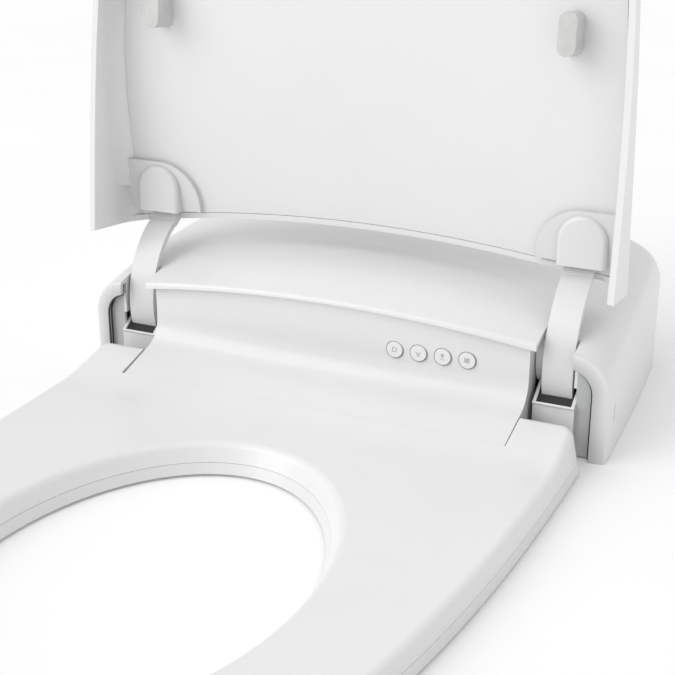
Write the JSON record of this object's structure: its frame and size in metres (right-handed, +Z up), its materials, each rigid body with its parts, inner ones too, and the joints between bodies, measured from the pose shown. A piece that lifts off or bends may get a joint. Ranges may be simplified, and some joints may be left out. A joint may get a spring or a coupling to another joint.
{
  "type": "electric bidet seat",
  "caption": "Electric bidet toilet seat with a rear control unit, round push buttons, a hinged seat ring and a lid on curved arms.",
  "frame": {"origin": "midway between the two mounting bolt holes, on the deck plane under the unit", "axes": "+X across the seat, +Y to the back, +Z up"},
  "size_m": [0.3708, 0.689, 0.5691],
  "materials": {
    "shell_white": "moulded gloss white plastic",
    "liner_white": "moulded satin white plastic",
    "trim_white": "gloss white trim",
    "cheek_grey": "satin light grey plastic",
    "dark_plastic": "matt black plastic",
    "soft_rubber": "soft translucent white rubber",
    "steel": "brushed stainless steel",
    "brass": "turned brass",
    "circuit": "green circuit board",
    "inner_grey": "matt grey inner plastic",
    "foil": "thin foil heater",
    "sensor_dark": "smoked sensor window"
  },
  "bodies": {
    "unit": {"rear_cover": "shell_white", "console_panel": "shell_white", "side_sensor_window": "sensor_dark", "button_frame": "dark_plastic", "switch_board": "circuit", "base_plate": "inner_grey", "mounting_plate": "steel", "base_feet": "soft_rubber", "cover_screws": "steel", "hinge_pocket_right": "cheek_grey", "hinge_pocket_left": "cheek_grey", "slot_rim_right": "trim_white", "slot_rim_left": "trim_white", "slot_seal_right": "dark_plastic", "slot_seal_left": "dark_plastic", "lid_actuator_right": "inner_grey", "lid_actuator_left": "inner_grey", "seat_damper_right": "steel", "seat_damper_left": "steel", "nozzle_cradle": "inner_grey", "nozzle_motor": "inner_grey", "nozzle_hose": "soft_rubber", "fan_housing": "inner_grey", "fan_motor": "steel", "dryer_grille": "trim_white", "filter_case": "inner_grey", "water_tank": "inner_grey", "tank_heater": "brass", "water_pump": "dark_plastic", "inlet_valve": "inner_grey", "inlet_fitting": "brass", "power_gland": "dark_plastic", "power_supply": "inner_grey", "control_board": "circuit"},
    "lid": {"lid_outer_shell": "shell_white", "lid_inner_panel": "liner_white", "lid_bracket_right": "shell_white", "lid_bracket_left": "shell_white", "lid_arm_right": "trim_white", "lid_arm_left": "trim_white", "lid_bumpers": "soft_rubber"},
    "seat": {"seat_upper_shell": "shell_white", "seat_lower_shell": "liner_white", "seat_heater": "foil", "seat_bumpers": "soft_rubber", "seat_hinge_lug_right": "steel", "seat_hinge_lug_left": "steel"},
    "nozzle": {"nozzle_wands": "steel", "nozzle_carriage": "inner_grey"},
    "pinion": {"nozzle_pinion": "trim_white"},
    "fan": {"fan_impeller": "dark_plastic"},
    "filter": {"filter_cartridge": "shell_white"},
    "stop_cap": {"stop_button": "trim_white"},
    "rear_wash_cap": {"rear_wash_button": "trim_white"},
    "front_wash_cap": {"front_wash_button": "trim_white"},
    "dryer_cap": {"dryer_button": "trim_white"}
  },
  "joints": [
    {"name": "lid_hinge", "type": "hinge", "parent": "unit", "child": "lid", "pos_m": [0, 0.024, 0.059], "axis": [1, 0, 0], "range_deg": [0, 96]},
    {"name": "seat_hinge", "type": "hinge", "parent": "unit", "child": "seat", "pos_m": [0, -0.025, 0.021], "axis": [1, 0, 0], "range_deg": [-89, 0]},
    {"name": "nozzle_slide", "type": "slide", "parent": "unit", "child": "nozzle", "axis": [0, -0.9511, -0.309], "range_m": [0, 0.085]},
    {"name": "pinion_turn", "type": "hinge", "parent": "unit", "child": "pinion", "pos_m": [0, 0.00993, 0.04123], "axis": [1, 0, 0], "range_deg": [-815, 0]},
    {"name": "fan_spin", "type": "hinge", "parent": "unit", "child": "fan", "pos_m": [-0.095, 0.066, 0.02], "axis": [0, 0, 1], "continuous": true},
    {"name": "filter_slide", "type": "slide", "parent": "unit", "child": "filter", "axis": [-1, 0, 0], "range_m": [0, 0.03]},
    {"name": "stop_press", "type": "slide", "parent": "unit", "child": "stop_cap", "axis": [0, 1, 0], "range_m": [0, 0.0012], "stiffness_N_per_m": 400},
    {"name": "rear_wash_press", "type": "slide", "parent": "unit", "child": "rear_wash_cap", "axis": [0, 1, 0], "range_m": [0, 0.0012], "stiffness_N_per_m": 400},
    {"name": "front_wash_press", "type": "slide", "parent": "unit", "child": "front_wash_cap", "axis": [0, 1, 0], "range_m": [0, 0.0012], "stiffness_N_per_m": 400},
    {"name": "dryer_press", "type": "slide", "parent": "unit", "child": "dryer_cap", "axis": [0, 1, 0], "range_m": [0, 0.0012], "stiffness_N_per_m": 400}
  ],
  "couplings": [
    {"joint": "pinion_turn", "follows": "nozzle_slide", "rad_per_m": -166.67}
  ]
}
